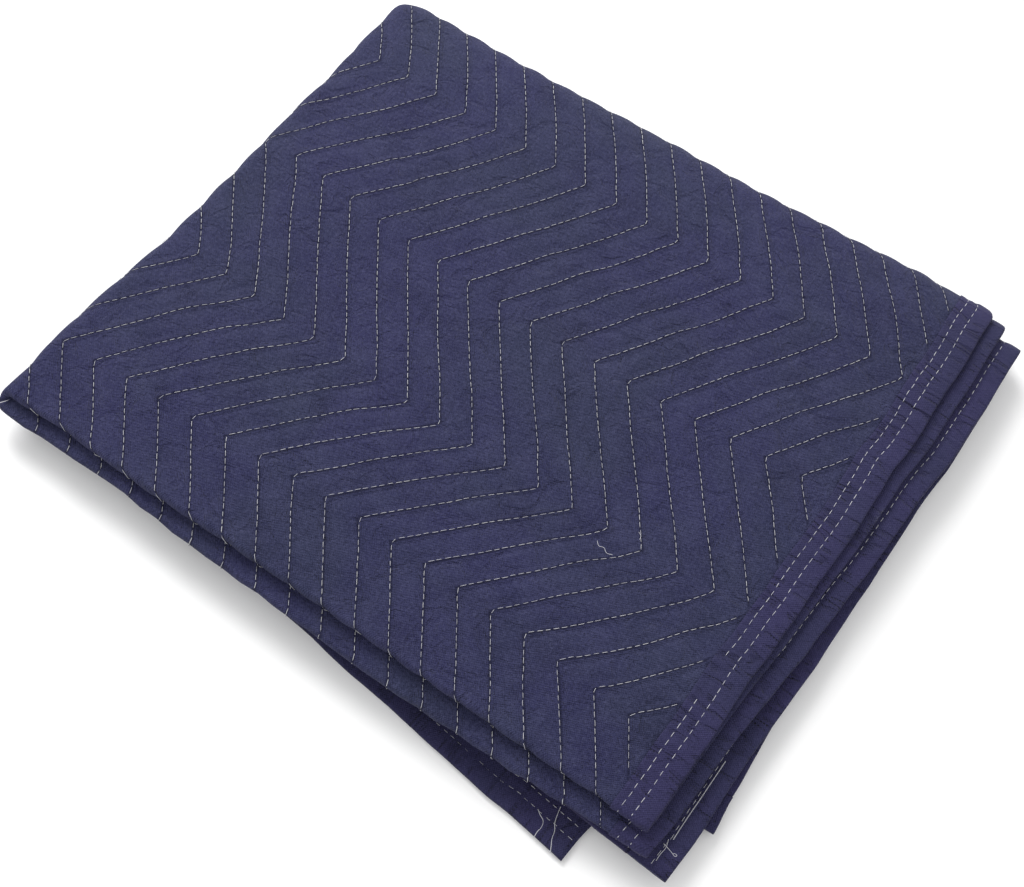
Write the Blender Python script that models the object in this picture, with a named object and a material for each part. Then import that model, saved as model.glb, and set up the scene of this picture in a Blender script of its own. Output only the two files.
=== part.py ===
# A folded quilted moving blanket: one quilted panel with four folded edge tapes.
# The flat panel is folded three times and lies as a flat packet of eight layers.
# The packet's long side runs along X, and its top faces +Z.
import math
import bpy
import numpy as np

# Flat panel, before folding
panel_length = 1.83       # folded into quarters, along Y
panel_width = 1.03        # folded in half, along X
sheet = 0.0024            # quilted panel's thickness
tape = 0.0006             # edge tape's thickness
tape_width = 0.027        # finished width on each face
gap = 0.0003              # between the tape and the panel

# Folded packet
pitch = 0.0052            # from one layer's middle to the next
swell = 0.0009            # the panel stands this much prouder inside the tapes
swell_start = 0.030       # distance from the edge where it starts
swell_end = 0.060
crease_x = -0.249         # centre of the closed crease at the packet's left end
# How far the crease stands off that straight line, read along Y: (y, offset in x)
crease_line = ((-0.23, -0.0145), (-0.15, -0.0080), (-0.05, 0.0030), (0.05, 0.0088), (0.20, 0.0122))

# Where the last fold turns back, read along X: (x, y)
turn_line = ((-0.25, 0.199), (-0.20, 0.2010), (-0.06, 0.2068), (0.08, 0.2148), (0.18, 0.224), (0.30, 0.231))
inner_turn = 0.006        # at the taped end the lower half turns this much sooner
line_easing = 0.04        # half the length over which each bend of such a line is spread
# The two rolls at the near long side: y of the upper, and how far the lower stands out of it
upper_roll_y = -0.2110
lower_roll_out = ((-0.05, 0.0085), (0.10, 0.0110), (0.18, 0.0070), (0.30, 0.0120), (0.44, 0.0150),
                  (0.56, 0.0165), (0.76, 0.0150), (0.92, 0.0130), (1.0, 0.0110))

# One row for each layer of the packet. Its taped end's distance in X from the crease: at the near
# rolls, at the far turn and at its hem. Then its hem's y at the left crease and at the taped end
layers = {
    "top_outer":    {"roll": 0.4915, "turn": 0.508, "hem": 0.458, "hem_left": -0.199, "hem_right": -0.2535},
    "top_inner":    {"roll": 0.4915, "turn": 0.520, "hem": 0.527, "hem_left": -0.188, "hem_right": -0.187},
    "bottom_inner": {"roll": 0.5005, "turn": 0.5375, "hem": 0.512, "hem_left": -0.188, "hem_right": -0.205},
    "bottom_outer": {"roll": 0.5005, "turn": 0.538, "hem": 0.518, "hem_left": -0.199, "hem_right": -0.231},
}

# How the packet thins towards its sides: share of its height lost, and over what distance
thin_far = (0.10, 0.050)
thin_near = (0.10, 0.060)
thin_crease = (0.12, 0.070)
thin_taped = (0.06, 0.080)

half_length = panel_length / 2
half_width = panel_width / 2
roll_radius = pitch / 2
crease_radius = pitch
turn_radius = 2 * pitch
quarter = math.pi / 2


def ease(value):
    value = np.clip(value, 0.0, 1.0)
    return value * value * (3 - 2 * value)


def read_line(line, place):
    """Read a bent line with its bends softened: the mean of seven places around this one."""
    knots, values = zip(*line)
    around = np.linspace(-line_easing, line_easing, 7)
    return sum(np.interp(place + step, knots, values) for step in around) / len(around)


def layer_value(column, outer, upper):
    """Blend one column of the layers table, by how far out and how far up a place is."""
    top = outer * layers["top_outer"][column] + (1 - outer) * layers["top_inner"][column]
    bottom = outer * layers["bottom_outer"][column] + (1 - outer) * layers["bottom_inner"][column]
    return upper * top + (1 - upper) * bottom


def crease_state(along, roll_angle):
    """The half fold at the left end: its level, angle, and how far past it a place lies."""
    level = crease_radius + roll_radius * np.sin(roll_angle)
    angle = np.clip(along / level, -quarter, quarter)
    past = np.abs(along) - level * quarter
    share = past / (half_width - level * quarter)
    return level, angle, past, share


def turn_state(along, roll_angle):
    """The last fold: where its turn starts, its core radius, and the roll's y."""
    level, angle, past, share = crease_state(along, roll_angle)
    outer = (1 + np.sin(roll_angle)) / 2
    upper = (1 + np.sin(angle)) / 2
    reach = np.clip(share, 0, None)
    turn_y = read_line(turn_line, crease_x + reach * layer_value("turn", outer, upper))
    turn_y = turn_y - inner_turn * reach * (1 - upper)
    roll_y = upper_roll_y - read_line(lower_roll_out, reach) * ease(1 - upper)
    core = turn_radius + level * np.sin(angle)
    return turn_y, roll_y, core


def station(place, along, side):
    """Flat distance from the panel's middle line: 0-1 roll, 1-2 upper run, 2-3 turn, 3-4 lower run."""
    turn_y, roll_y, core = turn_state(along, side * quarter)
    start = roll_radius * quarter
    turn_start = start + turn_y - roll_y
    turn_stop = turn_start + math.pi * core
    stops = (0.0, start, turn_start, turn_stop, half_length)
    step = np.clip(np.floor(place), 0, 3)
    low = np.choose(step.astype(int), [np.broadcast_to(stop, along.shape) for stop in stops[:4]])
    high = np.choose(step.astype(int), [np.broadcast_to(stop, along.shape) for stop in stops[1:]])
    return side * (low + (high - low) * (place - step))


def fold(along, across, lift):
    """A place on the flat panel, and its height over the sheet's middle, to the folded packet."""
    inside = np.minimum(half_width - np.abs(along), half_length - np.abs(across))
    lift = lift + swell * ease((inside - swell_start) / (swell_end - swell_start))
    # First fold: end to end, at the near rolls
    roll_angle = np.clip(across / roll_radius, -quarter, quarter)
    run = np.abs(across) - roll_radius * quarter
    run = np.where(run > 0, run, -(roll_radius + lift) * np.cos(roll_angle))
    height = (roll_radius + lift) * np.sin(roll_angle)
    # Second fold: side to side, at the left crease
    level, angle, past, share = crease_state(along, roll_angle)
    x = np.where(past > 0, 0.0, -(crease_radius + height) * np.cos(angle))
    height = (crease_radius + height) * np.sin(angle)
    # Third fold: end to end again, at the far turn
    turn_y, roll_y, core = turn_state(along, roll_angle)
    outer = (1 + np.sin(roll_angle)) / 2
    upper = (1 + np.sin(angle)) / 2
    reach = np.clip(share, 0, None)
    turn_run = turn_y - roll_y
    turned = np.clip((run - turn_run) / core, 0, math.pi)
    stop = turn_run + math.pi * core
    back = (run - stop) / (half_length - roll_radius * quarter - stop)
    hem_left = layer_value("hem_left", outer, upper)
    hem_y = hem_left + (layer_value("hem_right", outer, upper) - hem_left) * reach
    y = np.where(run < turn_run, roll_y + run, turn_y + (turn_radius + height) * np.sin(turned))
    y = np.where(back > 0, turn_y + (hem_y - turn_y) * back, y)
    height = (turn_radius + height) * np.cos(turned)
    # The taped ends lie in steps
    gone = np.clip(run / turn_run, 0, 1)
    gone = gone + gone ** 2 * (1 - gone)
    end = layer_value("roll", outer, upper) * (1 - gone) + layer_value("turn", outer, upper) * gone
    back = np.clip(back, 0, 1)
    back = back - back * (1 - back) ** 2
    end = end * (1 - back) + layer_value("hem", outer, upper) * back
    x = crease_x + x + reach * end + read_line(crease_line, y) * (1 - reach)
    z = height + turn_radius + 1.5 * pitch + sheet / 2 + swell
    return x, y, z * thinning(x, y)


def thinning(x, y):
    far = read_line(turn_line, x) + turn_radius + 1.5 * pitch
    loss = thin_far[0] * ease(1 - (far - y) / thin_far[1])
    loss = loss + thin_near[0] * ease(1 - (y - upper_roll_y) / thin_near[1])
    loss = loss + thin_crease[0] * ease(1 - (x - crease_x) / thin_crease[1])
    loss = loss + thin_taped[0] * ease(1 - (0.27 - x) / thin_taped[1])
    return 1 - loss


def spread(breaks, counts):
    """Places between each pair of breaks, with that many steps in each."""
    places = [breaks[0]]
    for low, high, count in zip(breaks, breaks[1:], counts):
        places.extend(low + (high - low) * (step + 1) / count for step in range(count))
    return np.array(places)


def both_ways(places):
    return np.concatenate((-places[:0:-1], places))


def add_material(name, colour, roughness):
    material = bpy.data.materials.new(name)
    material.use_nodes = True
    shader = material.node_tree.nodes["Principled BSDF"]
    shader.inputs["Base Color"].default_value = (*colour, 1)
    shader.inputs["Roughness"].default_value = roughness
    shader.inputs["Metallic"].default_value = 0.0
    return material


def add_swept(name, rings, material):
    """One closed solid through a list of closed rings, each an array of points, with capped ends."""
    rings = np.array(rings)
    count, size = rings.shape[:2]
    faces = []
    for ring in range(count - 1):
        for corner in range(size):
            following = (corner + 1) % size
            low = ring * size
            faces.append((low + corner, low + following, low + size + following, low + size + corner))
    faces.append(tuple(range(size))[::-1])
    faces.append(tuple((count - 1) * size + corner for corner in range(size)))
    mesh = bpy.data.meshes.new(name)
    mesh.from_pydata(rings.reshape(-1, 3).tolist(), [], faces)
    mesh.shade_smooth()
    mesh.set_sharp_from_angle(angle=math.radians(40))
    mesh.materials.append(material)
    thing = bpy.data.objects.new(name, mesh)
    bpy.context.collection.objects.link(thing)
    return thing


def folded_points(along, places, side, lift):
    across = station(places, along, side)
    return np.stack(fold(along, across, lift), axis=-1)


# Steps along the two flat directions
along_side = spread((0, 0.5 * pitch * quarter, 1.5 * pitch * quarter, half_width - swell_end,
                     half_width - swell_start, half_width), (2, 3, 6, 2, 1))
along_steps = both_ways(along_side)
roll_steps = spread((0, 1), (2,))
run_steps = spread((1, 2, 3, 3.87, 3.935, 4), (5, 7, 4, 1, 1))
across_side = np.concatenate((roll_steps, run_steps[1:]))


def sheet_grid(along, lift):
    """Folded points for every step across, at each step along, at one height over the middle."""
    rows = []
    for place in both_ways(across_side):
        side = -1 if place < 0 else 1
        rows.append(folded_points(along, np.full(along.shape, abs(place)), side, np.full(along.shape, lift)))
    return np.array(rows)


def add_panel():
    upper = sheet_grid(along_steps, sheet / 2)
    lower = sheet_grid(along_steps, -sheet / 2)
    rows, columns = upper.shape[:2]
    points = np.concatenate((upper.reshape(-1, 3), lower.reshape(-1, 3)))
    faces = []
    under = rows * columns
    for row in range(rows - 1):
        for column in range(columns - 1):
            corner = row * columns + column
            face = (corner, corner + 1, corner + columns + 1, corner + columns)
            faces.append(face)
            faces.append(tuple(under + point for point in face[::-1]))
    rim = list(range(columns))
    rim += [row * columns + columns - 1 for row in range(1, rows)]
    rim += [(rows - 1) * columns + column for column in range(columns - 2, -1, -1)]
    rim += [row * columns for row in range(rows - 2, 0, -1)]
    for first, second in zip(rim, rim[1:] + rim[:1]):
        faces.append((second, first, under + first, under + second))
    mesh = bpy.data.meshes.new("quilted_panel")
    mesh.from_pydata(points.tolist(), [], faces)
    mesh.shade_smooth()
    mesh.set_sharp_from_angle(angle=math.radians(40))
    mesh.materials.append(add_material("quilted_panel", (0.040, 0.046, 0.115), 0.85))
    thing = bpy.data.objects.new("quilted_panel", mesh)
    bpy.context.collection.objects.link(thing)


def tape_section():
    """The tape's section as (distance in from the panel's edge, height over its middle)."""
    outer = sheet / 2 + gap + tape
    inner = sheet / 2 + gap
    return ((tape_width, outer), (tape_width / 2, outer), (-gap - tape, outer), (-gap - tape, -outer),
            (tape_width / 2, -outer), (tape_width, -outer), (tape_width, -inner), (tape_width / 2, -inner),
            (-gap, -inner), (-gap, inner), (tape_width / 2, inner), (tape_width, inner))


def add_side_tape(name, side, material):
    """A tape along the panel's length, over a long edge; the upper one stops short of the end tapes."""
    inset, lift = np.array(tape_section()).T
    along = side * (half_width - inset)
    places, stop = both_ways(across_side), half_length
    if side > 0:
        places, stop = places[1:-1], half_length - tape_width - gap
    rings = []
    for place in places:
        turn = -1 if place < 0 else 1
        across = station(np.full(along.shape, abs(place)), along, turn)
        if abs(place) == places[-1]:
            across = np.full(along.shape, turn * stop)
        rings.append(np.stack(fold(along, across, lift), axis=-1))
    if side < 0:
        rings.reverse()
    add_swept(name, rings, material)


def add_end_tape(name, side, material):
    """A tape across the panel's width, over a short edge, from the lower side tape to the other edge."""
    inset, lift = np.array(tape_section()).T
    first, last = tape_width + gap - half_width, half_width + gap + tape
    places = along_steps[(along_steps > first) & (along_steps < half_width)]
    places = np.concatenate(([first], places, [last]))
    rings = []
    for place in places:
        along = np.full(inset.shape, place)
        rings.append(np.stack(fold(along, side * (half_length - inset), lift), axis=-1))
    if side > 0:
        rings.reverse()
    add_swept(name, rings, material)


def centre_all():
    """Stand the packet on the origin, centred in X and Y."""
    things = bpy.data.objects
    corners = np.concatenate([[point.co[:] for point in thing.data.vertices] for thing in things])
    middle = (corners.min(axis=0) + corners.max(axis=0)) / 2
    for thing in things:
        thing.location = (-middle[0], -middle[1], 0)


for old in list(bpy.data.objects):
    bpy.data.objects.remove(old)

add_panel()
tape_material = add_material("edge_tape", (0.045, 0.036, 0.135), 0.8)
add_side_tape("side_tape_upper", 1, tape_material)
add_side_tape("side_tape_lower", -1, tape_material)
add_end_tape("end_tape_outer", 1, tape_material)
add_end_tape("end_tape_inner", -1, tape_material)
centre_all()
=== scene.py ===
import math
import bpy
import bmesh
import numpy as np
from mathutils import Matrix, Vector


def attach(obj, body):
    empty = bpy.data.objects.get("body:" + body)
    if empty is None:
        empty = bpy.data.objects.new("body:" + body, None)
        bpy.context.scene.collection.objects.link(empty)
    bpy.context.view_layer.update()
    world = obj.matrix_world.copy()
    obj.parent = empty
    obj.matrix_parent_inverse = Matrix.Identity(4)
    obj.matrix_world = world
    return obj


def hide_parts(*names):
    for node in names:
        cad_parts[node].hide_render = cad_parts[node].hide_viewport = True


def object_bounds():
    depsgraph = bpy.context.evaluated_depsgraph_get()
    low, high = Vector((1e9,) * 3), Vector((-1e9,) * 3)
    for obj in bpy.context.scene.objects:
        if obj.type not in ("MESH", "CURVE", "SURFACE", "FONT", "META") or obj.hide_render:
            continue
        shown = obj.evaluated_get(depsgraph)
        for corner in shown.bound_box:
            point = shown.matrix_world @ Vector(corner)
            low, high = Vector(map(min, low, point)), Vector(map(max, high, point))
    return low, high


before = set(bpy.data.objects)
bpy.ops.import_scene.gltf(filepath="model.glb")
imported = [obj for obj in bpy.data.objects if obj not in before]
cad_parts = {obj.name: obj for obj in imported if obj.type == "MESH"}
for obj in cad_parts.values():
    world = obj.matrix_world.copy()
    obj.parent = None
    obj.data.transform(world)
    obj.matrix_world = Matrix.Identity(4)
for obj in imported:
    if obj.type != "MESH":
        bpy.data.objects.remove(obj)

frameLow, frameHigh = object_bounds()
quarter = math.pi / 2
dice = np.random.default_rng(12)


# The flat panel, its folds and the steps of its layers, in metres, as the solids have them
blanket = {
    "length": 1.83, "width": 1.03, "sheet": 0.0024, "tape": 0.0006, "tapeWidth": 0.027, "gap": 0.0003,
    "pitch": 0.0052, "swell": 0.0009, "swellStart": 0.030, "swellEnd": 0.060,
    "creaseX": -0.249,
    "creaseLine": ((-0.23, -0.0145), (-0.15, -0.0080), (-0.05, 0.0030), (0.05, 0.0088), (0.20, 0.0122)),
    "turnLine": ((-0.25, 0.199), (-0.20, 0.2010), (-0.06, 0.2068), (0.08, 0.2148), (0.18, 0.224),
                 (0.30, 0.231)),
    "innerTurn": 0.006, "lineEasing": 0.04,
    "upperRollY": -0.2110,
    "lowerRollOut": ((-0.05, 0.0085), (0.10, 0.0110), (0.18, 0.0070), (0.30, 0.0120), (0.44, 0.0150),
                     (0.56, 0.0165), (0.76, 0.0150), (0.92, 0.0130), (1.0, 0.0110)),
}
layers = {  # each layer's taped end in X past the crease, at the rolls, turn and hem, then its hem's y
    "topOuter": {"roll": 0.4915, "turn": 0.508, "hem": 0.458, "hemLeft": -0.199, "hemRight": -0.2535},
    "topInner": {"roll": 0.4915, "turn": 0.520, "hem": 0.527, "hemLeft": -0.188, "hemRight": -0.187},
    "bottomInner": {"roll": 0.5005, "turn": 0.5375, "hem": 0.512, "hemLeft": -0.188, "hemRight": -0.205},
    "bottomOuter": {"roll": 0.5005, "turn": 0.538, "hem": 0.518, "hemLeft": -0.199, "hemRight": -0.231},
}
thinSides = {  # the share of its height that the packet loses at each side, and how far in that reaches
    "far": (0.10, 0.050), "near": (0.10, 0.060), "crease": (0.12, 0.070), "taped": (0.06, 0.080),
    "tapedX": 0.27,
}

halfLength = blanket["length"] / 2
halfWidth = blanket["width"] / 2
pitch = blanket["pitch"]
rollRadius, creaseRadius, turnRadius = pitch / 2, pitch, 2 * pitch
outerHeight = turnRadius + 1.5 * pitch  # of the outermost layer, over the middle of the stack
tapeFace = blanket["sheet"] / 2 + blanket["gap"] + blanket["tape"]
rollStart = rollRadius * quarter
creaseBends = (0, 0.5 * pitch * quarter, 1.5 * pitch * quarter)


def ease(value):
    value = np.clip(value, 0.0, 1.0)
    return value * value * (3 - 2 * value)


def readLine(line, place):
    # a value along a bent line, with its corners eased
    knots, values = zip(*line)
    around = np.linspace(-blanket["lineEasing"], blanket["lineEasing"], 7)
    return sum(np.interp(place + step, knots, values) for step in around) / len(around)


def layerValue(column, outer, upper):
    # a step's place, blended between the four layers that meet at the crease and the rolls
    top = outer * layers["topOuter"][column] + (1 - outer) * layers["topInner"][column]
    bottom = outer * layers["bottomOuter"][column] + (1 - outer) * layers["bottomInner"][column]
    return upper * top + (1 - upper) * bottom


def creaseState(along, rollAngle):
    # the left crease: its radius, the angle turned, and the distance past it in metres and as a share
    level = creaseRadius + rollRadius * np.sin(rollAngle)
    angle = np.clip(along / level, -quarter, quarter)
    past = np.abs(along) - level * quarter
    return level, angle, past, past / (halfWidth - level * quarter)


def turnState(along, rollAngle):
    # where the far turn and the near rolls lie in Y, and the turn's radius
    level, angle, _, share = creaseState(along, rollAngle)
    outer, upper = (1 + np.sin(rollAngle)) / 2, (1 + np.sin(angle)) / 2
    reach = np.clip(share, 0, None)
    turnY = readLine(blanket["turnLine"], blanket["creaseX"] + reach * layerValue("turn", outer, upper))
    turnY = turnY - blanket["innerTurn"] * reach * (1 - upper)
    rollY = blanket["upperRollY"] - readLine(blanket["lowerRollOut"], reach) * ease(1 - upper)
    return turnY, rollY, turnRadius + level * np.sin(angle)


def station(place, along, last=halfLength):
    # flat distance from the middle line: 0-1 is the roll, 1-2 the upper run, 2-3 the turn, 3-4 the lower run
    side = np.where(place < 0, -1.0, 1.0)
    turnY, rollY, core = turnState(along, side * quarter)
    turnStart = rollStart + turnY - rollY
    stops = np.stack([np.zeros_like(along), np.full_like(along, rollStart), turnStart,
                      turnStart + math.pi * core, np.full_like(along, last)])
    place = np.abs(place)
    step = np.clip(np.floor(place), 0, 3).astype(int)
    low = np.take_along_axis(stops, step[None], 0)[0]
    high = np.take_along_axis(stops, step[None] + 1, 0)[0]
    return side * (low + (high - low) * (place - step))


def fold(along, across, lift):
    # a place on the flat panel and its height over the sheet's middle, carried to the folded packet
    inside = np.minimum(halfWidth - np.abs(along), halfLength - np.abs(across))
    lift = lift + blanket["swell"] * ease((inside - blanket["swellStart"])
                                          / (blanket["swellEnd"] - blanket["swellStart"]))
    rollAngle = np.clip(across / rollRadius, -quarter, quarter)
    run = np.abs(across) - rollStart
    run = np.where(run > 0, run, -(rollRadius + lift) * np.cos(rollAngle))
    height = (rollRadius + lift) * np.sin(rollAngle)
    _, angle, past, share = creaseState(along, rollAngle)
    x = np.where(past > 0, 0.0, -(creaseRadius + height) * np.cos(angle))
    height = (creaseRadius + height) * np.sin(angle)
    turnY, rollY, core = turnState(along, rollAngle)
    outer, upper = (1 + np.sin(rollAngle)) / 2, (1 + np.sin(angle)) / 2
    reach = np.clip(share, 0, None)
    turnRun = turnY - rollY
    turned = np.clip((run - turnRun) / core, 0, math.pi)
    stop = turnRun + math.pi * core
    back = (run - stop) / (halfLength - rollStart - stop)
    hemLeft = layerValue("hemLeft", outer, upper)
    hemY = hemLeft + (layerValue("hemRight", outer, upper) - hemLeft) * reach
    y = np.where(run < turnRun, rollY + run, turnY + (turnRadius + height) * np.sin(turned))
    y = np.where(back > 0, turnY + (hemY - turnY) * back, y)
    height = (turnRadius + height) * np.cos(turned)
    gone = np.clip(run / turnRun, 0, 1)
    gone = gone + gone ** 2 * (1 - gone)
    end = layerValue("roll", outer, upper) * (1 - gone) + layerValue("turn", outer, upper) * gone
    back = np.clip(back, 0, 1)
    back = back - back * (1 - back) ** 2
    end = end * (1 - back) + layerValue("hem", outer, upper) * back
    x = blanket["creaseX"] + x + reach * end + readLine(blanket["creaseLine"], y) * (1 - reach)
    z = height + outerHeight + blanket["sheet"] / 2 + blanket["swell"]
    return x, y, z * thinning(x, y)


def thinning(x, y):
    # the share of its height that the packet keeps at this spot
    far = readLine(blanket["turnLine"], x) + outerHeight
    loss = thinSides["far"][0] * ease(1 - (far - y) / thinSides["far"][1])
    loss = loss + thinSides["near"][0] * ease(1 - (y - blanket["upperRollY"]) / thinSides["near"][1])
    loss = loss + thinSides["crease"][0] * ease(1 - (x - blanket["creaseX"]) / thinSides["crease"][1])
    return 1 - loss - thinSides["taped"][0] * ease(1 - (thinSides["tapedX"] - x) / thinSides["taped"][1])


# The quilting
quilting = {  # zigzag rows of stitches through the panel, along its length
    "spacing": 0.02626, "rowGap": 0.1052, "firstRow": 0.0498, "firstPeak": -0.0145, "swing": 0.0770,
    "stitch": 0.0054, "drawn": 0.84, "thread": 0.00036, "corner": 0.0016, "margin": 0.0280,
    "bows": ((-2, 0.0), (-1, 0.004), (0, 0.0119), (1, -0.0085), (2, -0.0130), (3, -0.0010), (4, 0.0),
             (8, 0.0)),
    "sways": ((-1, 0.0), (0, -0.0017), (1, 0.0028), (2, 0.0030), (3, -0.0016), (4, -0.0020)),
    "drifts": ((-1, 0.0075), (-0.5, 0.0055), (0, 0.0012), (1, -0.0074), (2, -0.0100), (3, -0.0070),
               (4, 0.0)),
    "bowMiddle": 0.265, "bowReach": 0.223, "slack": 0.0085, "lowerShift": 0.008, "lowerEase": 0.03,
    "cornerShift": 0.0045, "cornerFrom": 0.39, "cornerEase": 0.06, "cornerRow": -0.3, "cornerRows": 1.5,
    "groove": 0.0011, "grooveWidth": 0.0042, "grooveShare": 0.7, "pillowWidth": 0.011,
    "rimStart": 0.024, "rimEase": 0.012, "overrun": 0.03, "sample": 0.001, "start": 0.008,
    "waver": (0.0006, 0.05, 11), "threadSink": 0.62, "flatSink": 0.0001,
}
steep = math.hypot(1, quilting["swing"] / quilting["rowGap"])


def rowShift(along, straight):
    # how far the zigzag's corners sit off straight rows, bowed along the blanket
    row = (straight - quilting["firstRow"]) / quilting["rowGap"]
    bow = 1 - ((along - quilting["bowMiddle"]) / quilting["bowReach"]) ** 2
    return np.interp(row, *zip(*quilting["bows"])) * np.clip(bow, 0, 1)


def drift(along, straight):
    # how far the rows wander along the blanket's width, most at its middle
    row = (straight - quilting["firstRow"]) / quilting["rowGap"]
    inward = 1 - np.abs(along) / halfWidth
    wander = np.interp(row, *zip(*quilting["drifts"])) * inward + quilting["slack"] * along
    wander = wander - quilting["lowerShift"] * inward * ease(-along / quilting["lowerEase"])
    corner = ease((along - quilting["cornerFrom"]) / quilting["cornerEase"])
    corner = corner * ease(quilting["cornerRows"] - np.abs(row - quilting["cornerRow"]))
    return wander + quilting["cornerShift"] * corner


def zigzag(straight):
    # how far a zigzag line stands off to one side, its corners a little rounded
    wave, steps = 0, (-1, -0.5, 0, 0.5, 1)
    for step in steps:
        row = (straight + step * quilting["corner"] - quilting["firstRow"]) / quilting["rowGap"]
        wave = wave + np.abs((row + 1) % 2 - 1) / len(steps)
    return wave * quilting["swing"] + np.interp(row, *zip(*quilting["sways"]))


def seamDistance(along, across):
    # how far a place lies from the nearest line of stitches
    straight = across - rowShift(along, across)
    lines = (along - quilting["firstPeak"] - zigzag(straight) - drift(along, straight)) / quilting["spacing"]
    return np.abs(lines - np.round(lines)) * quilting["spacing"] / steep


noiseGrid = {"cells": 64, "offset": (32.3, 32.7)}


def softNoise(across, along, size, seed):
    # smooth bumps of about one size, from -1 to 1
    cells, (offsetAcross, offsetAlong) = noiseGrid["cells"], noiseGrid["offset"]
    grid = np.random.default_rng(seed).uniform(-1, 1, (cells, cells))
    across, along = across / size + offsetAcross, along / size + offsetAlong
    column, row = np.floor(across).astype(int), np.floor(along).astype(int)
    right, up = ease(across - column), ease(along - row)
    low, high = (grid[column % cells, line % cells] * (1 - right)
                 + grid[(column + 1) % cells, line % cells] * right for line in (row, row + 1))
    return low * (1 - up) + high * up


def unevenness(across, along, waves):
    # soft bumps of several sizes together: each wave is its height, size and seed
    return sum(height * softNoise(across, along, size, seed) for height, size, seed in waves)


# How the packet lies
creases = (  # soft troughs in the upper layers: middle, direction in degrees, half length, half width, depth
    {"x": -0.120, "y": 0.020, "turn": -38, "reach": 0.050, "width": 0.0050, "depth": 0.0019},
    {"x": -0.075, "y": -0.010, "turn": -24, "reach": 0.040, "width": 0.0045, "depth": 0.0018},
    {"x": -0.020, "y": -0.045, "turn": -30, "reach": 0.045, "width": 0.0050, "depth": 0.0021},
    {"x": 0.055, "y": -0.055, "turn": -18, "reach": 0.040, "width": 0.0045, "depth": 0.0019},
    {"x": -0.150, "y": 0.085, "turn": -50, "reach": 0.040, "width": 0.0060, "depth": 0.0016},
    {"x": 0.120, "y": -0.075, "turn": -10, "reach": 0.040, "width": 0.0050, "depth": 0.0016},
    {"x": 0.030, "y": 0.110, "turn": 12, "reach": 0.050, "width": 0.0060, "depth": 0.0013},
)
lying = {
    "hills": ((0.0013, 0.110, 3), (0.0008, 0.038, 4), (0.00045, 0.014, 5)), "creaseWaver": (0.004, 0.03, 6),
    "waverX": ((0.0011, 0.045, 7), (0.0007, 0.018, 8)), "waverY": ((0.0011, 0.050, 9), (0.0006, 0.017, 10)),
    "highest": 1.1,
    "bulge": {"out": 0.0016, "fromX": 0.15, "ease": 0.08, "y": 0.020, "width": 0.035},
    "corner": {"cut": 0.0062, "width": 0.022, "length": 0.011},
}


def terrain(x, y):
    # how far the uppermost layer lies above or below a level packet
    rise = unevenness(x, y, lying["hills"])
    for crease in creases:
        turn = math.radians(crease["turn"])
        ahead = (x - crease["x"]) * math.cos(turn) + (y - crease["y"]) * math.sin(turn)
        aside = (y - crease["y"]) * math.cos(turn) - (x - crease["x"]) * math.sin(turn)
        aside = aside + unevenness(ahead, ahead * 0 + crease["x"], (lying["creaseWaver"],))
        fade = np.clip(1 - (ahead / crease["reach"]) ** 2, 0, 1)
        rise = rise - crease["depth"] * fade * np.exp(-(aside / crease["width"]) ** 2)
    return rise


def lay(along, across, lift):
    # the folded place, with the packet's own unevenness, in the frame's coordinates
    x, y, z = fold(along, across, lift)
    bulge, corner = lying["bulge"], lying["corner"]
    high = np.clip(z / (frameHigh.z - frameLow.z), 0, lying["highest"])
    z = z + terrain(x, y) * high ** 4
    x = x + unevenness(y, z, lying["waverX"])
    nearBulge = ease((x - bulge["fromX"]) / bulge["ease"]) * np.exp(-((y - bulge["y"]) / bulge["width"]) ** 2)
    x = x + bulge["out"] * high ** 2 * nearBulge
    # the taped corners at the far turn are rounded off
    far = readLine(blanket["turnLine"], x) + outerHeight - blanket["innerTurn"] * (along < 0)
    nearEnd = ease((np.abs(along) - halfWidth + corner["width"]) / corner["width"])
    x = x - corner["cut"] * nearEnd * np.clip(1 - (far - y) / corner["length"], 0, 1) ** 2
    y = y + unevenness(x, z, lying["waverY"])
    return np.stack((x, y, z), axis=-1)


# Meshes from folded places
def bothWays(places):
    # places counted out from zero, mirrored to its other side
    return np.concatenate((-places[:0:-1], places))


def spread(breaks, counts):
    # even steps between each two breaks
    runs = [np.linspace(low, high, count, endpoint=False)
            for low, high, count in zip(breaks, breaks[1:], counts)]
    return np.concatenate(runs + [[breaks[-1]]])


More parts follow.
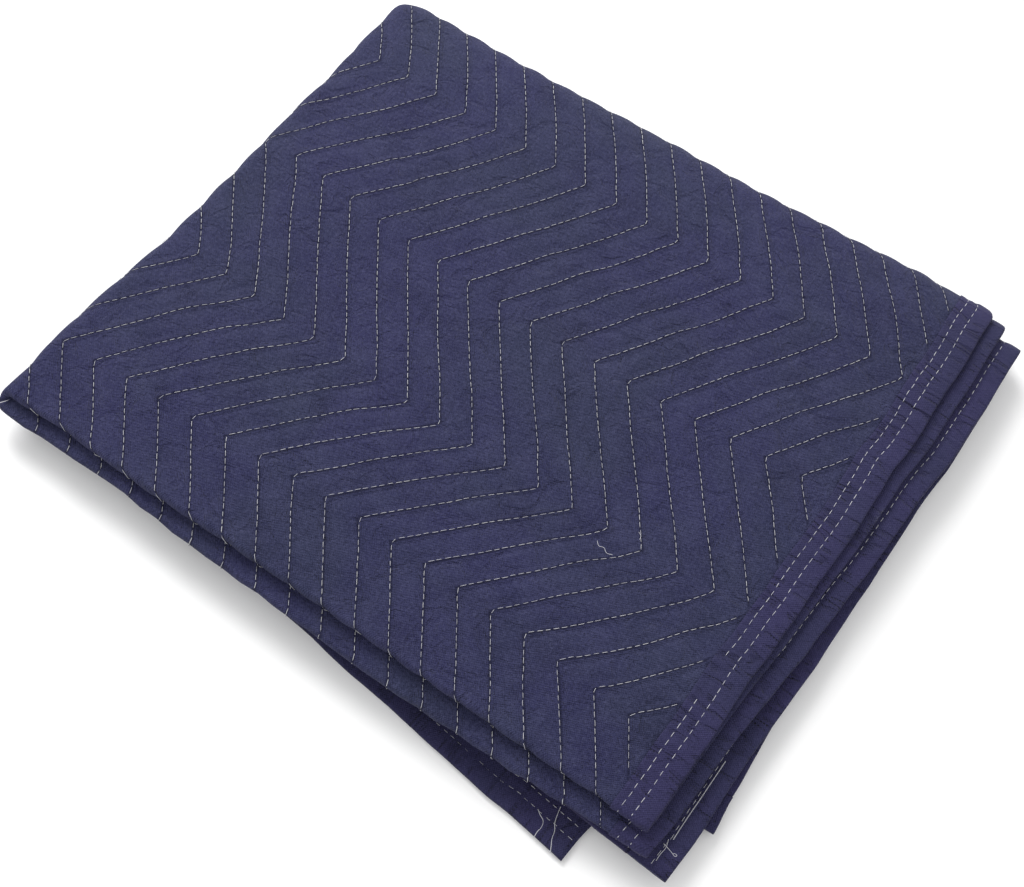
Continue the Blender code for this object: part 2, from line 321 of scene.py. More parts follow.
def foldedSheet(name, along, across, outer, inner, flatMaps):
    # one closed sheet: a grid for each face, bridged round the rim, then moved to its folded places
    rows, columns = along.shape
    form = bmesh.new()
    upper = bmesh.ops.create_grid(form, x_segments=columns - 1, y_segments=rows - 1, size=1)["verts"]
    lower = bmesh.ops.create_grid(form, x_segments=columns - 1, y_segments=rows - 1, size=1)["verts"]
    bmesh.ops.translate(form, verts=lower, vec=(0, 0, -1))
    under = set(lower)
    bmesh.ops.reverse_faces(form, faces=[face for face in form.faces if face.verts[0] in under])
    bmesh.ops.bridge_loops(form, edges=[edge for edge in form.edges if edge.is_boundary])
    mesh = bpy.data.meshes.new(name)
    form.to_mesh(mesh)
    form.free()
    flat = np.empty(len(mesh.vertices) * 3)
    mesh.vertices.foreach_get("co", flat)
    flat = flat.reshape(-1, 3)
    column = np.rint((flat[:, 0] + 1) / 2 * (columns - 1)).astype(int)
    row = np.rint((flat[:, 1] + 1) / 2 * (rows - 1)).astype(int)
    top = flat[:, 2] > -0.5
    lift = np.where(top, outer[row, column], inner[row, column])
    places = lay(along[row, column], across[row, column], lift) - cadShift
    mesh.vertices.foreach_set("co", places.ravel())
    corners = np.empty(len(mesh.loops), dtype=int)
    mesh.loops.foreach_get("vertex_index", corners)
    for layerName, flatMap in flatMaps.items():
        layer = mesh.uv_layers.new(name=layerName)
        layer.data.foreach_set("uv", flatMap[row[corners], column[corners]].ravel())
    return finishMesh(name, mesh)


def finishMesh(name, mesh):
    # the object for a mesh, its faces turned outwards
    form = bmesh.new()
    form.from_mesh(mesh)
    if form.calc_volume(signed=True) < 0:
        bmesh.ops.reverse_faces(form, faces=form.faces)
    form.to_mesh(mesh)
    form.free()
    mesh.shade_smooth()
    mesh.validate()
    mesh.update()
    piece = bpy.data.objects.new(name, mesh)
    bpy.context.collection.objects.link(piece)
    return piece


# the solids are centred on their box, so the same shift is found from the packet's own corners
gridSteps = {"along": (4, 6, 60), "across": (4, 30, 12, 30)}
stations = (0, 1, 2, 3, 4)
gridAlong = bothWays(spread(creaseBends + (halfWidth,), gridSteps["along"]))
gridPlace = bothWays(spread(stations, gridSteps["across"]))
alongAll, placeAll = np.meshgrid(gridAlong, gridPlace)
corners = np.stack(fold(alongAll, station(placeAll, alongAll), tapeFace), axis=-1).reshape(-1, 3)
low, high = corners.min(axis=0), corners.max(axis=0)
frameMiddle = (np.array(frameLow) + np.array(frameHigh)) / 2
cadShift = np.array([(low[0] + high[0]) / 2 - frameMiddle[0], (low[1] + high[1]) / 2 - frameMiddle[1], 0])
print("packet found", low.round(4), high.round(4), "shift", cadShift.round(4))


# The quilted panel
panelSteps = {
    "fine": 0.0034, "coarse": 0.0140, "bends": (3, 5), "runFine": 130, "runCoarse": 24, "turn": 12, "roll": 5,
}


def faceLift(along, across):
    # height of the panel's outer face over its middle: pillows between the stitched grooves
    seam, share = seamDistance(along, across), quilting["grooveShare"]
    groove = share * np.exp(-(seam / quilting["grooveWidth"]) ** 2)
    groove = groove + (1 - share) * (1 - ease(seam / quilting["pillowWidth"]))
    inside = np.minimum(halfWidth - np.abs(along), halfLength - np.abs(across))
    inside = ease((inside - quilting["rimStart"]) / quilting["rimEase"])
    return blanket["sheet"] / 2 - quilting["groove"] * groove * inside


def makePanel():
    # the mesh is finest on the layer that shows
    right, left = (spread(creaseBends + (halfWidth,),
                          panelSteps["bends"] + (round((halfWidth - creaseBends[-1]) / panelSteps[size]),))
                   for size in ("fine", "coarse"))
    columns = np.concatenate((-left[:0:-1], right))
    roll, turn, coarse = panelSteps["roll"], panelSteps["turn"], panelSteps["runCoarse"]
    outerRun = spread(stations, (roll, panelSteps["runFine"], turn, coarse))
    innerRun = spread(stations, (roll, coarse, turn, coarse))
    places = np.concatenate((-innerRun[:0:-1], outerRun))
    along, place = np.meshgrid(columns, places)
    across = station(place, along)
    outer = faceLift(along, across)
    inner = np.full_like(outer, -blanket["sheet"] / 2)
    straight = across - rowShift(along, across) - quilting["firstRow"]
    sway = np.interp(straight / quilting["rowGap"], *zip(*quilting["sways"]))
    wander = drift(along, straight + quilting["firstRow"])
    maps = {"flat": np.stack((along, across), axis=-1),
            "quilt": np.stack((along - sway - quilting["firstPeak"] - wander, straight), axis=-1)}
    return foldedSheet("quiltedCloth", along, across, outer, inner, maps)


panel = makePanel()
print("quilted panel", len(panel.data.polygons), "faces")


# The edge tapes
tapes = {
    "rows": (0.0127, 0.0212), "nose": 9, "flank": 14, "flankEnd": 0.0015, "sideRuns": (4, 110, 14, 60),
    "endBends": (3, 5), "endStep": 0.006, "pinch": 0.00045, "pinchWidth": 0.0022, "puff": 0.00045,
    "stitch": 0.0065, "drawn": 0.74, "thread": 0.00041, "start": 0.006, "pressed": 0.0003,
    "waverAlong": (0.0004, 0.04, 12), "waverAcross": (0.0004, 0.04, 13), "endRowShare": 0.88,
    "rowEnd": 0.0005, "rowClear": 0.001, "samples": {"long": 1600, "short": 900},
    "unsewn": {"along": 0.4938, "across": 0.1010, "reach": 0.0150, "width": 0.003},
    "joint": {"along": 0.3500, "slant": 0.05},
}


def tapeProfile():
    # across the tape: distance in from the panel's edge, height over its middle, and the same one tape deeper
    deep, skin = blanket["sheet"] / 2 + blanket["gap"], blanket["tape"]
    flank = np.linspace(blanket["tapeWidth"], tapes["flankEnd"], tapes["flank"])
    swing = np.linspace(0, math.pi, tapes["nose"] + 2)[1:-1]
    inset = np.concatenate((flank, -np.sin(swing), flank[::-1]))
    side = np.concatenate((flank * 0 + 1, np.cos(swing), flank * 0 - 1))
    nose = (inset < 0) & (np.abs(side) < 1)
    outerInset = np.where(nose, inset * (skin + blanket["gap"]), inset)
    innerInset = np.where(nose, inset * blanket["gap"], inset)
    pinch = sum(np.exp(-((inset - row) / tapes["pinchWidth"]) ** 2) for row in tapes["rows"])
    puff = np.sin(np.clip(inset / tapes["rows"][0], 0, 1) * math.pi)
    outer = side * (deep + skin - tapes["pinch"] * np.where(nose, 0, pinch) + tapes["puff"] * puff)
    return outerInset, outer, innerInset, side * deep


def makeTape(name, along, across, outer, inner, lengthwise):
    # a tape from its grid and its profile, with a flat map that runs lengthwise
    outer, inner = (np.broadcast_to(lift, along.shape) for lift in (outer, inner))
    width = np.linspace(0, 2 * blanket["tapeWidth"], along.shape[1])
    flatMap = np.stack((lengthwise, np.broadcast_to(width, along.shape)), axis=-1)
    return foldedSheet(name, along, across, outer, inner, {"flat": flatMap})


def makeSideTape(name, side):
    # the upper one stops short of the end tapes, which run over it; the lower one runs to the corners
    outerInset, outer, innerInset, inner = tapeProfile()
    places = bothWays(spread(stations, tapes["sideRuns"]))
    inset, place = np.meshgrid((outerInset + innerInset) / 2, places)
    along = side * (halfWidth - inset)
    short = blanket["tapeWidth"] + blanket["gap"] if side > 0 else 0
    across = station(place, along, halfLength - short)
    return makeTape(name, along, across, outer, inner, across)


def makeEndTape(name, side):
    # its flat map starts two metres on, so that its wrinkles aren't those of the side tapes
    outerInset, outer, innerInset, inner = tapeProfile()
    counts = tapes["endBends"] + (round((halfWidth - creaseBends[-1]) / tapes["endStep"]),)
    left = spread(creaseBends + (halfWidth - blanket["tapeWidth"] - blanket["gap"],), counts)
    right = spread(creaseBends + (halfWidth + blanket["gap"] + blanket["tape"],), counts)
    places = np.concatenate((-left[:0:-1], right))
    inset, along = np.meshgrid((outerInset + innerInset) / 2, places)
    across = side * (halfLength - inset)
    return makeTape(name, along, across, outer, inner, along + 2)


sideTapes = {name: makeSideTape(name, side) for name, side in (("sideTapeUpper", 1), ("sideTapeLower", -1))}
endTapes = {name: makeEndTape(name, side) for name, side in (("endTapeOuter", 1), ("endTapeInner", -1))}
print("edge tapes made")


# The stitches
stitches = {  # lengths are shares of one drawn stitch, heights are shares of the thread's thickness
    "sides": 4, "body": 0.62, "tip": 0.19, "placeSlack": 0.06, "lengths": (0.88, 1.10), "bend": 0.00022,
    "height": 0.9, "arch": 0.75, "archPower": 0.5, "sunk": 0.36,
}


def stitchForm():
    # one drawn stitch along X from 0 to 1, pinched where it dips into the cloth
    form = bmesh.new()
    bmesh.ops.create_cone(form, segments=stitches["sides"], radius1=0.5, radius2=0.5, depth=stitches["body"],
                          cap_ends=True)
    caps = [face for face in form.faces if len(face.verts) == 4 and abs(face.normal.z) > 0.9]
    bmesh.ops.poke(form, faces=caps, offset=stitches["tip"])
    bmesh.ops.rotate(form, verts=form.verts, cent=(0, 0, 0), matrix=Matrix.Rotation(quarter, 3, "Y"))
    bmesh.ops.translate(form, verts=form.verts, vec=(0.5, 0, 0))
    form.verts.ensure_lookup_table()
    points = np.array([vert.co[:] for vert in form.verts])
    tips, sides = (np.array([[vert.index for vert in face.verts] for face in form.faces
                             if len(face.verts) == count]) for count in (3, 4))
    form.free()
    return points, tips, sides


def stitchLine(along, across, pitchLength, drawn, start):
    # even stitches along a flat line: the flat places of their two ends
    steps = np.hypot(np.diff(along), np.diff(across))
    far = np.concatenate(([0], np.cumsum(steps)))
    begins = np.arange(start, far[-1] - pitchLength * drawn, pitchLength)
    slack = stitches["placeSlack"]
    begins = begins + dice.uniform(-slack, slack, len(begins)) * pitchLength
    ends = begins + pitchLength * drawn * dice.uniform(*stitches["lengths"], len(begins))
    return [np.stack((np.interp(spots, far, along), np.interp(spots, far, across)), axis=-1)
            for spots in (begins, ends)]


def sewStitches(name, first, last, liftAt, thread, face):
    # stitches laid on one face of the cloth, joined in one mesh
    points, tips, sides = stitchForm()
    heading = last - first
    length = np.linalg.norm(heading, axis=1, keepdims=True)
    aside = np.stack((-heading[:, 1], heading[:, 0]), axis=-1) / length
    far, off, up = points.T
    bend = stitches["bend"] * dice.normal(size=len(first))[:, None] * np.sin(far * math.pi)
    flat = first[:, None] + heading[:, None] * far[None, :, None]
    flat = flat + aside[:, None] * (off * thread + bend)[..., None]
    base = liftAt(flat[..., 0], flat[..., 1])
    arch = np.sin(np.clip(far, 0, 1) * math.pi) ** stitches["archPower"]
    rise = up[None] * stitches["height"] + stitches["arch"] * arch - stitches["sunk"]
    lift = face * (base + thread * rise)
    places = lay(flat[..., 0], flat[..., 1], lift) - cadShift
    offsets = np.arange(len(first))[:, None, None] * len(points)
    faces = (tips[None] + offsets).reshape(-1, 3).tolist() + (sides[None] + offsets).reshape(-1, 4).tolist()
    mesh = bpy.data.meshes.new(name)
    mesh.from_pydata(places.reshape(-1, 3).tolist(), [], faces)
    layer = mesh.uv_layers.new(name="flat")
    index = np.empty(len(mesh.loops), dtype=int)
    mesh.loops.foreach_get("vertex_index", index)
    layer.data.foreach_set("uv", flat.reshape(-1, 2)[index].ravel())
    return finishMesh(name, mesh)


def quiltLines():
    # the flat places of both ends of every quilting stitch, clear of the tapes
    firsts, lasts = [], []
    over = halfLength + quilting["overrun"]
    straight = np.arange(-over, over, quilting["sample"])
    reach = halfWidth + quilting["swing"]
    lowest, highest = math.floor(-reach / quilting["spacing"]), math.ceil(reach / quilting["spacing"])
    for line in range(lowest, highest + 1):
        along = quilting["firstPeak"] + line * quilting["spacing"] + zigzag(straight)
        waver = unevenness(straight, straight * 0 + line, (quilting["waver"],))
        along = along + drift(along, straight) + waver
        across = straight + rowShift(along, straight)
        start = dice.uniform(0, quilting["start"])
        first, last = stitchLine(along, across, quilting["stitch"], quilting["drawn"], start)
        firsts.append(first)
        lasts.append(last)
    first, last = np.concatenate(firsts), np.concatenate(lasts)
    margin = quilting["margin"]
    inside = np.ones(len(first), dtype=bool)
    for end in (first, last):
        inside &= (np.abs(end[:, 0]) < halfWidth - margin) & (np.abs(end[:, 1]) < halfLength - margin)
    return first[inside], last[inside]


def hemLines():
    # two rows round the rim; at each corner only one of the two edges' rows runs on to the end
    firsts, lasts = [], []
    clear = blanket["tapeWidth"] + tapes["rowClear"]
    for inset in tapes["rows"]:
        for side in (-1, 1):
            longStop = halfLength - (tapes["rowEnd"] if side < 0 else clear)
            longEdge = np.linspace(-longStop, longStop, tapes["samples"]["long"])
            shortEdge = np.linspace(-halfWidth + clear, halfWidth - tapes["rowEnd"],
                                    tapes["samples"]["short"])
            shortInset = tapes["endRowShare"] * inset
            for along, across in ((longEdge * 0 + side * (halfWidth - inset), longEdge),
                                  (shortEdge, shortEdge * 0 + side * (halfLength - shortInset))):
                along = along + unevenness(across, along, (tapes["waverAlong"],))
                across = across + unevenness(along, across, (tapes["waverAcross"],))
                start = dice.uniform(0, tapes["start"])
                first, last = stitchLine(along, across, tapes["stitch"], tapes["drawn"], start)
                firsts.append(first)
                lasts.append(last)
    first, last = np.concatenate(firsts), np.concatenate(lasts)
    # a few stitches are gone from one row
    unsewn = tapes["unsewn"]
    sewn = np.abs(first[:, 0] - unsewn["along"]) > unsewn["width"]
    sewn = sewn | (np.abs(first[:, 1] - unsewn["across"]) > unsewn["reach"])
    return first[sewn], last[sewn]


def threadBase(along, across):
    # stitches sit in the grooves where the mesh is fine enough to have them
    face = blanket["sheet"] / 2
    grooved = face + quilting["threadSink"] * (faceLift(along, across) - face)
    return np.where((along > 0) & (across > 0), grooved, face - quilting["flatSink"])


def tapeTop(along, across):
    # hem stitches are pressed a little into the tape, the same all along it
    return np.full_like(along, tapeFace - tapes["pressed"])


quiltFirst, quiltLast = quiltLines()
upperHalf = quiltFirst[:, 0] > 0
quiltThreads = [sewStitches(name, quiltFirst[half], quiltLast[half], threadBase, quilting["thread"], 1)
                for name, half in (("quiltThreadUpper", upperHalf), ("quiltThreadLower", ~upperHalf))]
hemFirst, hemLast = hemLines()
hemThreads = {name: sewStitches(name, hemFirst, hemLast, tapeTop, tapes["thread"], face)
              for name, face in (("hemThreadOuter", 1), ("hemThreadInner", -1))}
print("stitches", len(quiltFirst), "quilting,", len(hemFirst), "in each face's hems")


# Loose threads: a flat place on the layer each lies on, which way that layer runs, its face, and where it
# goes in X and Y
looseThreads = {
    "looseThreadLong": {"start": (-0.495, 0.895), "turn": -1, "face": 1, "thick": 0.00062, "path": (
        (0.2622, -0.1465), (0.2615, -0.160), (0.2609, -0.175), (0.2602, -0.190), (0.2597, -0.2070))},
    "looseThreadLoop": {"start": (-0.495, 0.895), "turn": -1, "face": 1, "thick": 0.00050, "path": (
        (0.2560, -0.2125), (0.2595, -0.2132), (0.2630, -0.2142), (0.2660, -0.2150), (0.2668, -0.2142),
        (0.2655, -0.2136), (0.2640, -0.2146))},
    "looseThreadCross": {"start": (-0.495, 0.895), "turn": -1, "face": 1, "thick": 0.00046, "path": (
        (0.2572, -0.2085), (0.2585, -0.2140), (0.2578, -0.2190), (0.2576, -0.2240))},
    "looseThreadEnd": {"start": (0.495, 0.895), "turn": -1, "face": -1, "thick": 0.00052, "path": (
        (0.1905, -0.2275), (0.1918, -0.2340), (0.1930, -0.2380), (0.1955, -0.2420), (0.1968, -0.2470),
        (0.1990, -0.2515), (0.2008, -0.2550))},
    "looseThreadTail": {"start": (0.495, 0.895), "turn": -1, "face": -1, "thick": 0.00050, "path": (
        (0.1795, -0.2370), (0.1828, -0.2392), (0.1862, -0.2412), (0.1874, -0.2450), (0.1868, -0.2490),
        (0.1870, -0.2530))},
    "looseThreadShort": {"start": (0.38, 0.13), "turn": 1, "face": 1, "thick": 0.00036, "path": (
        (0.1165, -0.0765), (0.1195, -0.0790), (0.1225, -0.0780), (0.1260, -0.0802), (0.1300, -0.0790))},
    "looseThreadStub": {"start": (0.42, 0.16), "turn": 1, "face": 1, "thick": 0.00034, "path": (
        (0.1360, -0.0560), (0.1385, -0.0575), (0.1392, -0.0600))},
}


looseLaying = {"rounds": 14, "step": 0.9, "raised": 0.4, "ringSteps": 1, "runSteps": 6}


def flatUnder(x, y, start, turn):
    # the flat place, on the layer where start lies, that is folded to this spot
    along, across = start
    for _ in range(looseLaying["rounds"]):
        spot = lay(np.array([along]), np.array([across]), np.array([0.0]))[0]
        along = along + math.copysign(looseLaying["step"], start[0]) * (x - spot[0])
        across = across + looseLaying["step"] * turn * (y - spot[1])
    return along, across


def makeLooseThread(name, start, turn, face, thick, path):
    # threads on the upper run lie on the panel, the others on tape
    lift = (blanket["sheet"] / 2 if turn > 0 else tapeFace) + thick * looseLaying["raised"]
    flat = np.array([flatUnder(x, y, start, turn) for x, y in path])
    places = lay(flat[:, 0], flat[:, 1], np.full(len(flat), face * lift)) - cadShift
    line = bpy.data.curves.new(name, "CURVE")
    line.dimensions, line.bevel_depth, line.bevel_resolution = "3D", thick / 2, looseLaying["ringSteps"]
    line.resolution_u, line.use_fill_caps = looseLaying["runSteps"], True
    run = line.splines.new("BEZIER")
    run.bezier_points.add(len(places) - 1)
    for knot, place in zip(run.bezier_points, places):
        knot.co = place
        knot.handle_left_type = knot.handle_right_type = "AUTO"
    holder = bpy.data.objects.new(name, line)
    mesh = bpy.data.meshes.new_from_object(holder)
    mesh.uv_layers.new(name="flat")
    bpy.data.objects.remove(holder)
    return finishMesh(name, mesh)


loosePieces = [makeLooseThread(name, **thread) for name, thread in looseThreads.items()]
print("loose threads", len(loosePieces))


# Materials
class Wire:
    # one shader socket that takes part in plain sums

    def __init__(self, tree, socket):
        self.tree, self.socket = tree, socket

    def math(self, operation, *others):
        return self.tree.node("ShaderNodeMath", {"operation": operation}, dict(enumerate((self,) + others)))

    def __add__(self, other): return self.math("ADD", other)
    def __sub__(self, other): return self.math("SUBTRACT", other)
    def __rsub__(self, other): return (self * -1).math("ADD", other)
    def __mul__(self, other): return self.math("MULTIPLY", other)
    def __pow__(self, other): return self.math("POWER", other)


class Shade:
    # a material's node tree, with one method that adds any node

    def __init__(self, name, roughness, sheen=0.0):
        self.material = bpy.data.materials.new(name)
        self.material.use_nodes = True
        self.nodes, self.links = self.material.node_tree.nodes, self.material.node_tree.links
        self.shader = self.nodes["Principled BSDF"]
        self.shader.inputs["Roughness"].default_value = roughness
        self.shader.inputs["Sheen Weight"].default_value = sheen
        self.shader.inputs["Sheen Roughness"].default_value = surface["sheenRoughness"]
        self.shader.inputs["Specular IOR Level"].default_value = surface["specular"]

    def node(self, kind, settings=None, values=None, output=0):
        made = self.nodes.new(kind)
        for name, setting in (settings or {}).items():
            setattr(made, name, setting)
        for name, value in (values or {}).items():
            if isinstance(value, Wire):
                self.links.new(value.socket, made.inputs[name])
            else:
                made.inputs[name].default_value = value
        return Wire(self, made.outputs[output])

    def uv(self, name):
        return self.node("ShaderNodeUVMap", {"uv_map": name})

    def parts(self, vector):
        return [self.node("ShaderNodeSeparateXYZ", None, {0: vector}, index) for index in (0, 1)]

    def noise(self, vector, scale, detail, roughness=0.5, distortion=0.0):
        values = {"Vector": vector, "Scale": scale, "Detail": detail, "Roughness": roughness,
                  "Distortion": distortion}
        return self.node("ShaderNodeTexNoise", {"noise_dimensions": "3D"}, values)

    def stretched(self, vector, scales, *settings):
        # noise that is longer one way than the other
        scaled = self.node("ShaderNodeVectorMath", {"operation": "MULTIPLY"}, {0: vector, 1: scales})
        return self.noise(scaled, 1.0, *settings)

    def mix(self, factor, first, second):
        return self.node("ShaderNodeMix", {"data_type": "RGBA"}, {0: factor, 6: first, 7: second}, 2)

    def fit(self, value, low, high):
        # 0 below the low end and 1 above the high end, eased between them
        values = {0: value, 1: low, 2: high}
        return self.node("ShaderNodeMapRange", {"interpolation_type": "SMOOTHSTEP"}, values)

    def ridges(self, value, sharpness):
        # 1 along the lines where a noise is at its middle, falling off to both sides
        return 1 - ((value - 0.5).math("ABSOLUTE") * sharpness).math("MINIMUM", 1.0)

    def patches(self, colour, vector, *rows):
        # patches of other colours, each where a noise passes through a span
        for noise, span, strength, paint in rows:
            factor = self.fit(self.noise(vector, *noise), *span) * strength
            colour = self.mix(factor, colour, paints[paint])
        return colour

    def bump(self, height, distance, strength, under=None):
        values = {"Height": height, "Distance": distance, "Strength": strength}
        if under:
            values["Normal"] = under
        return self.node("ShaderNodeBump", None, values)

    def finish(self, colour, normal=None):
        self.links.new(colour.socket, self.shader.inputs["Base Color"])
        if normal:
            self.links.new(normal.socket, self.shader.inputs["Normal"])
        return self.material


surface = {"sheenRoughness": 0.5, "specular": 0.15}
paints = {
    "navy": (0.0215, 0.0215, 0.0730, 1), "slate": (0.0220, 0.0262, 0.0630, 1),
    "dusty": (0.074, 0.078, 0.158, 1), "deep": (0.0070, 0.0075, 0.0260, 1),
    "indigo": (0.0250, 0.0225, 0.0720, 1), "dusk": (0.0215, 0.0222, 0.0620, 1),
    "worn": (0.078, 0.074, 0.168, 1), "lint": (0.30, 0.31, 0.36, 1),
    "thread": (0.36, 0.36, 0.41, 1), "bright": (0.60, 0.60, 0.63, 1), "soiled": (0.24, 0.24, 0.27, 1),
}
clothLook = {  # a noise is its scale, detail, roughness and distortion; a bump its distance and strength
    "roughness": 0.88, "sheen": 0.04, "pucker": (0.0, 0.0045), "seam": (0.0003, 0.0016),
    "clear": (0.0270, 0.0295), "weave": 0.0016, "weaveWander": (160, 2), "fuzz": (1300, 3, 0.65),
    "ripple": ((60.0, 170.0, 1.0), 2, 0.55, 0.6), "slack": (55, 3, 0.55, 0.9), "foldSharpness": 4,
    "heights": {"ripple": 1.4, "fold": 0.6, "slack": 1.2, "weave": 0.45, "fuzz": 1.2},
    "seamHalf": 0.0018, "seamRise": 550, "softBump": (0.0026, 0.85), "seamBump": (0.0007, 0.8),
    "fineBump": (0.0006, 0.85), "weaveTint": (0.26, 0.06), "grooveShadeTint": 0.66,
    "patches": (  # noise, the span of it that shows, strength and colour
        ((7, 3, 0.6), (0.38, 0.64), 1.0, "slate"),
        ((42, 4, 0.65, 0.8), (0.36, 0.68), 0.20, "dusty"),
        ((26, 3, 0.6, 0.4), (0.48, 0.72), 0.30, "deep"),
        ((420, 4, 0.75), (0.42, 0.72), 0.46, "dusty"),
        ((620, 3, 0.7), (0.48, 0.70), 0.78, "deep"),
    ),
}
tapeLook = {
    "roughness": 0.82, "sheen": 0.04, "fibre": ((700.0, 1300.0, 1.0), 3, 0.65, 0.5),
    "crumple": (70, 3, 0.55, 0.8), "ripple": ((105.0, 26.0, 1.0), 2, 0.55, 0.5), "weave": 3800,
    "wrinkleSharpness": 14, "wrinkled": (0.42, 0.62), "step": (-0.0006, 0.0006), "line": (0.0003, 0.0013),
    "heights": {"crumple": 0.9, "ripple": 1.4, "step": 0.4, "wrinkle": 0.7, "weave": 0.35},
    "softBump": (0.0024, 0.8), "fineBump": (0.0006, 0.8),
    "dusk": ((14, 3), (0.36, 0.64), 1.0, "dusk"), "specks": ((600, 3, 0.7), (0.50, 0.75), 0.6, "deep"),
    "worn": (0.45, 0.8), "wornTint": 0.40, "wrinkleShadeTint": 0.42, "jointShadeTint": 0.6, "weaveTint": (0.16, 0.05),
    "lint": {"along": -0.267, "across": 0.0285, "narrow": 1.6, "noise": (520, 4, 0.75, 1.5),
             "span": (0.50, 0.62), "fade": (0.003, 0.013), "strength": 0.55},
}
threadLook = {
    "roughness": 0.62, "sheen": 0.1,
    "patches": (((45, 2, 0.6), (0.3, 0.7), 1.0, "bright"), ((900, 2), (0.5, 0.8), 0.4, "soiled")),
}


def makeClothMaterial():
    look, heights = clothLook, clothLook["heights"]
    shade = Shade("quilted cloth", look["roughness"], look["sheen"])
    flat = shade.uv("flat")
    along, across = shade.parts(flat)
    quiltAlong, quiltAcross = shade.parts(shade.uv("quilt"))
    wave = (quiltAcross * (1 / quilting["rowGap"])).math("PINGPONG", 1.0) * quilting["swing"]
    lines = (quiltAlong - wave) * (1 / quilting["spacing"])
    seam = (lines - lines.math("ROUND")).math("ABSOLUTE") * (quilting["spacing"] / steep)
    nearSeam = 1 - shade.fit(seam, *look["pucker"])
    inside = (halfWidth - along.math("ABSOLUTE")).math("MINIMUM", halfLength - across.math("ABSOLUTE"))
    # where painted shade darkens the stitched grooves, clear of the tapes
    grooveShadeMask = (1 - shade.fit(seam, *look["seam"])) * shade.fit(inside, *look["clear"])
    # plain weave, a little uneven
    wander = shade.noise(flat, *look["weaveWander"]) * look["weave"]
    warp, weft = [((way + wander) * (2 * math.pi / look["weave"])).math("SINE") for way in (along, across)]
    weave = warp * weft
    fuzz = shade.noise(flat, *look["fuzz"])
    # short puckers across each seam, and slack folds between the seams
    slack = shade.noise(flat, *look["slack"])
    height = shade.stretched(flat, *look["ripple"]) * nearSeam * heights["ripple"]
    height = height + shade.ridges(slack, look["foldSharpness"]) * heights["fold"] + slack * heights["slack"]
    soft = shade.bump(height, *look["softBump"])
    sunk = shade.bump(seam.math("MINIMUM", look["seamHalf"]) * look["seamRise"], *look["seamBump"], soft)
    fine = shade.bump(weave * heights["weave"] + fuzz * heights["fuzz"], *look["fineBump"], sunk)
    # colour: broad bluish and greyish areas, mottled pile, and painted shade along the seam grooves
    colour = shade.patches(paints["navy"], flat, *look["patches"])
    contrast, base = look["weaveTint"]
    colour = shade.mix(weave * contrast + base, colour, paints["dusty"])
    colour = shade.mix(grooveShadeMask * look["grooveShadeTint"], colour, paints["deep"])
    return shade.finish(colour, fine)


def makeTapeMaterial():
    look, heights, lint = tapeLook, tapeLook["heights"], tapeLook["lint"]
    shade = Shade("edge tape", look["roughness"], look["sheen"])
    flat = shade.uv("flat")
    along, across = shade.parts(flat)
    fibre = shade.stretched(flat, *look["fibre"])
    crumple = shade.noise(flat, *look["crumple"])
    ripple = shade.stretched(flat, *look["ripple"])
    # where two lengths of tape meet, one lies over the other, with a painted shadow line along its edge
    meet = along - tapes["joint"]["along"] - across * tapes["joint"]["slant"]
    step = shade.fit(meet, *look["step"])
    line = 1 - shade.fit(meet.math("ABSOLUTE"), *look["line"])
    wrinkle = shade.ridges(ripple, look["wrinkleSharpness"]) * shade.fit(crumple, *look["wrinkled"])
    height = crumple * heights["crumple"] + ripple * heights["ripple"] + step * heights["step"]
    soft = shade.bump(height - wrinkle * heights["wrinkle"], *look["softBump"])
    weave = (along * look["weave"]).math("SINE") * (across * look["weave"]).math("SINE")
    fine = shade.bump(fibre + weave * heights["weave"], *look["fineBump"], soft)
    colour = shade.patches(paints["indigo"], flat, look["dusk"])
    colour = shade.mix(shade.fit(fibre, *look["worn"]) * look["wornTint"], colour, paints["worn"])
    colour = shade.patches(colour, flat, look["specks"])
    # painted shade along the wrinkles
    colour = shade.mix(wrinkle * look["wrinkleShadeTint"], colour, paints["deep"])
    # a painted shadow line where one length of tape lies over the other
    colour = shade.mix(line * look["jointShadeTint"], colour, paints["deep"])
    contrast, base = look["weaveTint"]
    colour = shade.mix(weave * contrast + base, colour, paints["worn"])
    # a patch of pale lint on the lower tape
    far = ((along - lint["along"]) ** 2 + ((across - lint["across"]) * lint["narrow"]) ** 2) ** 0.5
    tuft = shade.fit(shade.noise(flat, *lint["noise"]), *lint["span"])
    colour = shade.mix(tuft * (1 - shade.fit(far, *lint["fade"])) * lint["strength"], colour, paints["lint"])
    return shade.finish(colour, fine)


def makeThreadMaterial():
    shade = Shade("thread", threadLook["roughness"], threadLook["sheen"])
    return shade.finish(shade.patches(paints["thread"], shade.uv("flat"), *threadLook["patches"]))


clothMaterial, tapeMaterial, threadMaterial = makeClothMaterial(), makeTapeMaterial(), makeThreadMaterial()
tapePieces = list(sideTapes.values()) + list(endTapes.values())
threadPieces = quiltThreads + list(hemThreads.values()) + loosePieces
panel.data.materials.append(clothMaterial)
for pieces, material in ((tapePieces, tapeMaterial), (threadPieces, threadMaterial)):
    for piece in pieces:
        piece.data.materials.append(material)
print("materials made")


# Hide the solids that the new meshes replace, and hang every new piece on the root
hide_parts("quilted_panel")
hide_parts("side_tape_upper")
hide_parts("side_tape_lower")
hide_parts("end_tape_outer")
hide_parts("end_tape_inner")
for piece in [panel] + tapePieces + threadPieces:
    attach(piece, "root")
for piece in tapePieces + threadPieces:
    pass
tapePieces + threadPieces


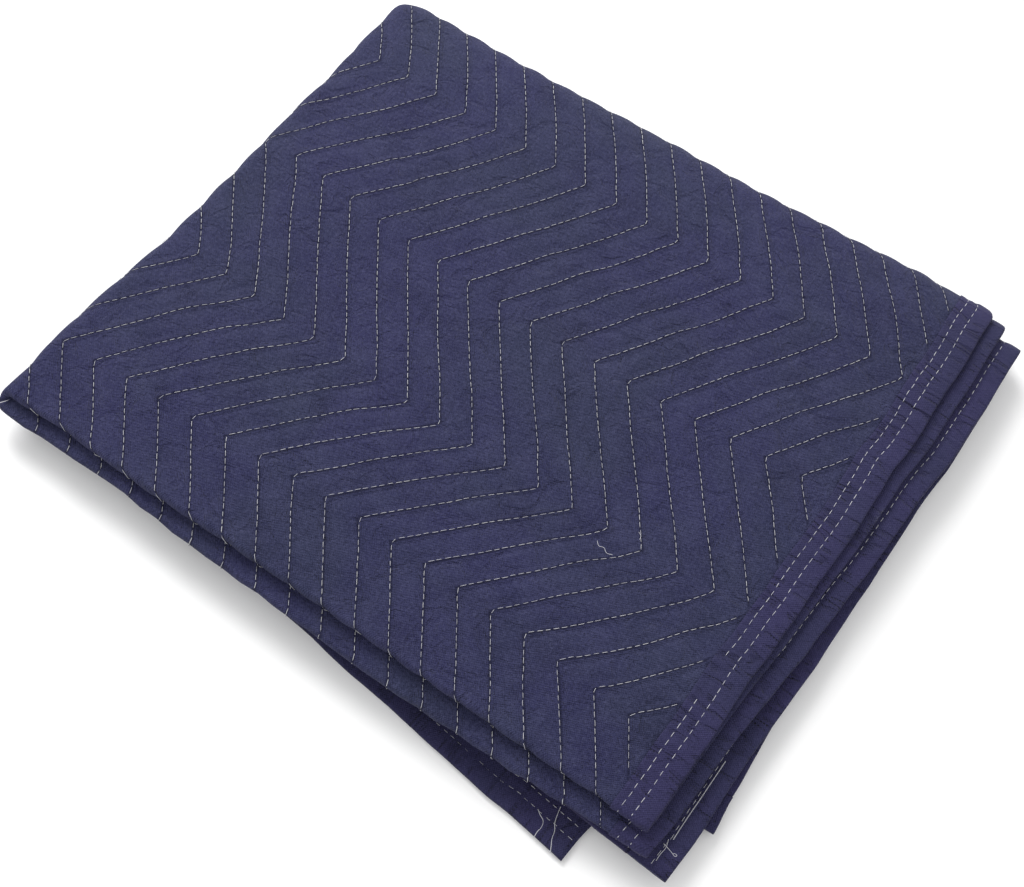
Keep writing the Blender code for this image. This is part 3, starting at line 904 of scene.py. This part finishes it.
# Floor, light and camera
studio = {
    "floor": {"colour": (0.94, 0.94, 0.94, 1), "half": 12, "roughness": 0.9}, "world": 0.85,
    "key": {"place": (-1.4, 1.2, 1.6), "size": 1.3, "power": 54},
    "fill": {"place": (1.6, -1.8, 1.8), "size": 2.0, "power": 3},
    "camera": {"place": (0.1892, -0.4191, 0.9649), "heading": 113.12, "rise": -66.64, "roll": 4.56,
               "lens": 52.73, "sensor": 36.0, "nearest": 0.01},
}


def makeFloor():
    form = bmesh.new()
    bmesh.ops.create_grid(form, x_segments=1, y_segments=1, size=studio["floor"]["half"])
    mesh = bpy.data.meshes.new("floor")
    form.to_mesh(mesh)
    form.free()
    floor = bpy.data.objects.new("floor", mesh)
    bpy.context.collection.objects.link(floor)
    shade = Shade("floor", studio["floor"]["roughness"])
    shade.shader.inputs["Base Color"].default_value = studio["floor"]["colour"]
    mesh.materials.append(shade.material)


def makeLight(name, place, size, power):
    lamp = bpy.data.lights.new(name, "AREA")
    lamp.size, lamp.energy = size, power
    light = bpy.data.objects.new(name, lamp)
    light.location = place
    light.rotation_euler = (-Vector(place)).to_track_quat("-Z", "Y").to_euler()
    bpy.context.collection.objects.link(light)


def makeCamera():
    view = studio["camera"]
    heading, rise = math.radians(view["heading"]), math.radians(view["rise"])
    forward = Vector((math.cos(heading) * math.cos(rise), math.sin(heading) * math.cos(rise), math.sin(rise)))
    level = forward.cross(Vector((0, 0, 1))).normalized()
    above = level.cross(forward)
    roll = math.asin(math.sin(math.radians(view["roll"])) / above.z)
    right = level * math.cos(roll) + above * math.sin(roll)
    up = right.cross(forward)
    lens = bpy.data.cameras.new("camera")
    lens.lens, lens.sensor_width, lens.sensor_fit = view["lens"], view["sensor"], "HORIZONTAL"
    lens.clip_start = view["nearest"]
    camera = bpy.data.objects.new("camera", lens)
    turn = Matrix((right, up, -forward)).transposed().to_4x4()
    camera.matrix_world = Matrix.Translation(Vector(view["place"]) - Vector(cadShift)) @ turn
    bpy.context.collection.objects.link(camera)
    bpy.context.scene.camera = camera


world = bpy.data.worlds.new("studio")
world.use_nodes = True
world.node_tree.nodes["Background"].inputs["Color"].default_value = (1, 1, 1, 1)
world.node_tree.nodes["Background"].inputs["Strength"].default_value = studio["world"]
bpy.context.scene.world = world
bpy.context.scene.view_settings.view_transform = "Standard"
makeFloor()
makeLight("key", **studio["key"])
makeLight("fill", **studio["fill"])
makeCamera()
print("stage set")
